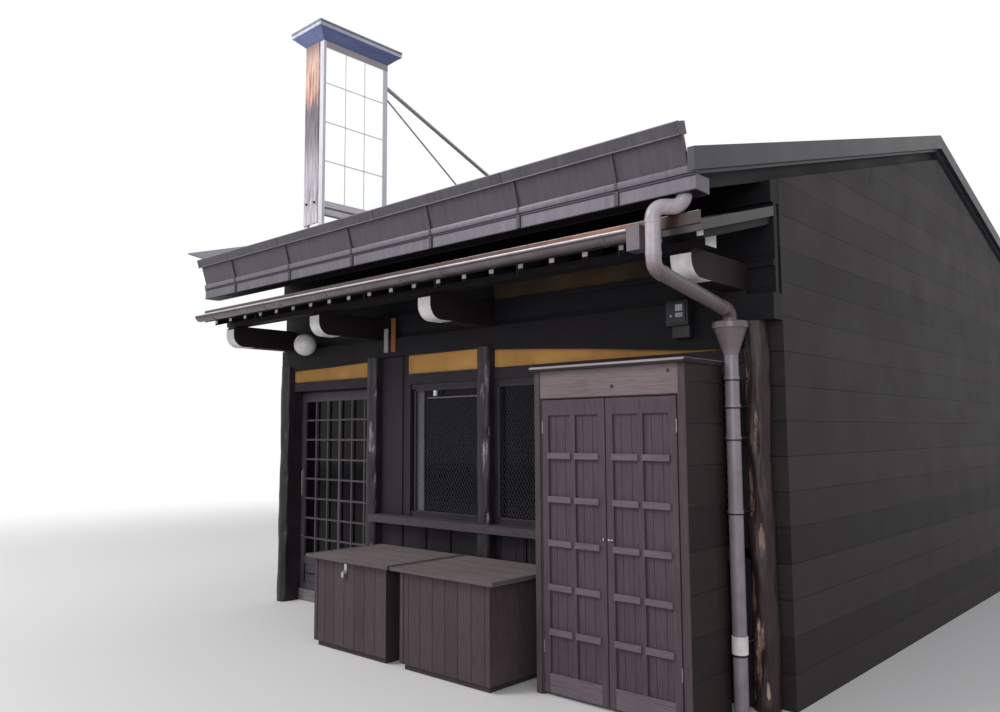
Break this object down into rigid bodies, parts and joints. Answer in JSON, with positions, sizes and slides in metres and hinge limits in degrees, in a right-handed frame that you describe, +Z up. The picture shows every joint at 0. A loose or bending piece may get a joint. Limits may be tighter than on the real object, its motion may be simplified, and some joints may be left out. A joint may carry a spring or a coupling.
{
  "type": "machiya townhouse",
  "caption": "One-storey timber townhouse of a row, with a log-post front, a pent roof on bracket arms, a gabled sheet-metal roof, a lantern tower, a lattice door, a storage cupboard and chests",
  "frame": {"origin": "on the ground below the middle of the floor", "axes": "+X runs to the right along the street front, +Y from the street front to the back, +Z up"},
  "size_m": [5.455, 9.175, 5.51],
  "materials": {
    "stained_timber": "dark brown preservative stain on sawn and round timber, matt",
    "greyed_timber": "brown stain weathered to a greyer tone, matt",
    "weathered_plank": "weathered plank, grey-brown, matt",
    "ochre_plaster": "ochre earth plaster, matt",
    "concrete": "trowelled grey concrete floor",
    "window_glass": "clear window glass",
    "roof_sheet": "dark mauve-grey painted sheet steel, satin",
    "gutter_plastic": "mauve-brown rigid plastic rainwater goods, satin",
    "tower_timber": "orange-brown pine board, weathered",
    "white_panel": "translucent white sheet",
    "opal_glass": "opal white globe",
    "meter_plastic": "black moulded housing"
  },
  "bodies": {
    "house": {"ground_floor": "concrete", "party_wall_left": "greyed_timber", "party_wall_right": "greyed_timber", "log_posts": "stained_timber", "wall_beams": "stained_timber", "lintels": "stained_timber", "plaster_bands": "ochre_plaster", "upper_walls": "stained_timber", "roof_beams": "stained_timber", "wall_boards": "stained_timber", "shelf_plank": "weathered_plank", "window_frames": "greyed_timber", "window_glass": "window_glass", "door_sill": "weathered_plank", "door_head_track": "stained_timber", "bracket_arms": "stained_timber", "pent_purlin": "stained_timber", "pent_rafters": "stained_timber", "pent_roof": "roof_sheet", "pent_gutter": "gutter_plastic", "downpipe_upper": "gutter_plastic", "downpipe_lower": "gutter_plastic", "roof_rafters": "stained_timber", "roof_front": "roof_sheet", "roof_back": "roof_sheet", "ridge_cap": "roof_sheet", "eave_boxes": "gutter_plastic", "snow_board": "roof_sheet", "verge_right": "roof_sheet", "verge_curb_left": "roof_sheet", "tower_frame": "tower_timber", "tower_panels": "white_panel", "tower_cap": "roof_sheet", "tower_stays": "stained_timber", "globe_lamp": "opal_glass", "meter_box": "meter_plastic", "name_plates": "weathered_plank", "cupboard_case": "greyed_timber", "chest_left_box": "greyed_timber", "chest_right_box": "greyed_timber"},
    "chest_left_lid": {"chest_left_lid": "greyed_timber"},
    "chest_right_lid": {"chest_right_lid": "greyed_timber"},
    "cupboard_door_left": {"cupboard_door_left": "greyed_timber"},
    "cupboard_door_right": {"cupboard_door_right": "greyed_timber"},
    "lattice_door": {"lattice_door": "stained_timber"}
  },
  "joints": [
    {"name": "door_slide", "type": "slide", "parent": "house", "child": "lattice_door", "axis": [1, 0, 0], "range_m": [0, 1]},
    {"name": "cupboard_left_hinge", "type": "hinge", "parent": "house", "child": "cupboard_door_left", "pos_m": [1.291, -4.18, 0.92], "axis": [0, 0, -1], "range_deg": [0, 100]},
    {"name": "cupboard_right_hinge", "type": "hinge", "parent": "house", "child": "cupboard_door_right", "pos_m": [2.269, -4.18, 0.92], "axis": [0, 0, 1], "range_deg": [0, 100]},
    {"name": "chest_left_hinge", "type": "hinge", "parent": "house", "child": "chest_left_lid", "pos_m": [-0.392, -3.716, 0.69], "axis": [-1, 0, 0], "range_deg": [0, 80]},
    {"name": "chest_right_hinge", "type": "hinge", "parent": "house", "child": "chest_right_lid", "pos_m": [0.618, -3.716, 0.69], "axis": [-1, 0, 0], "range_deg": [0, 80]}
  ]
}
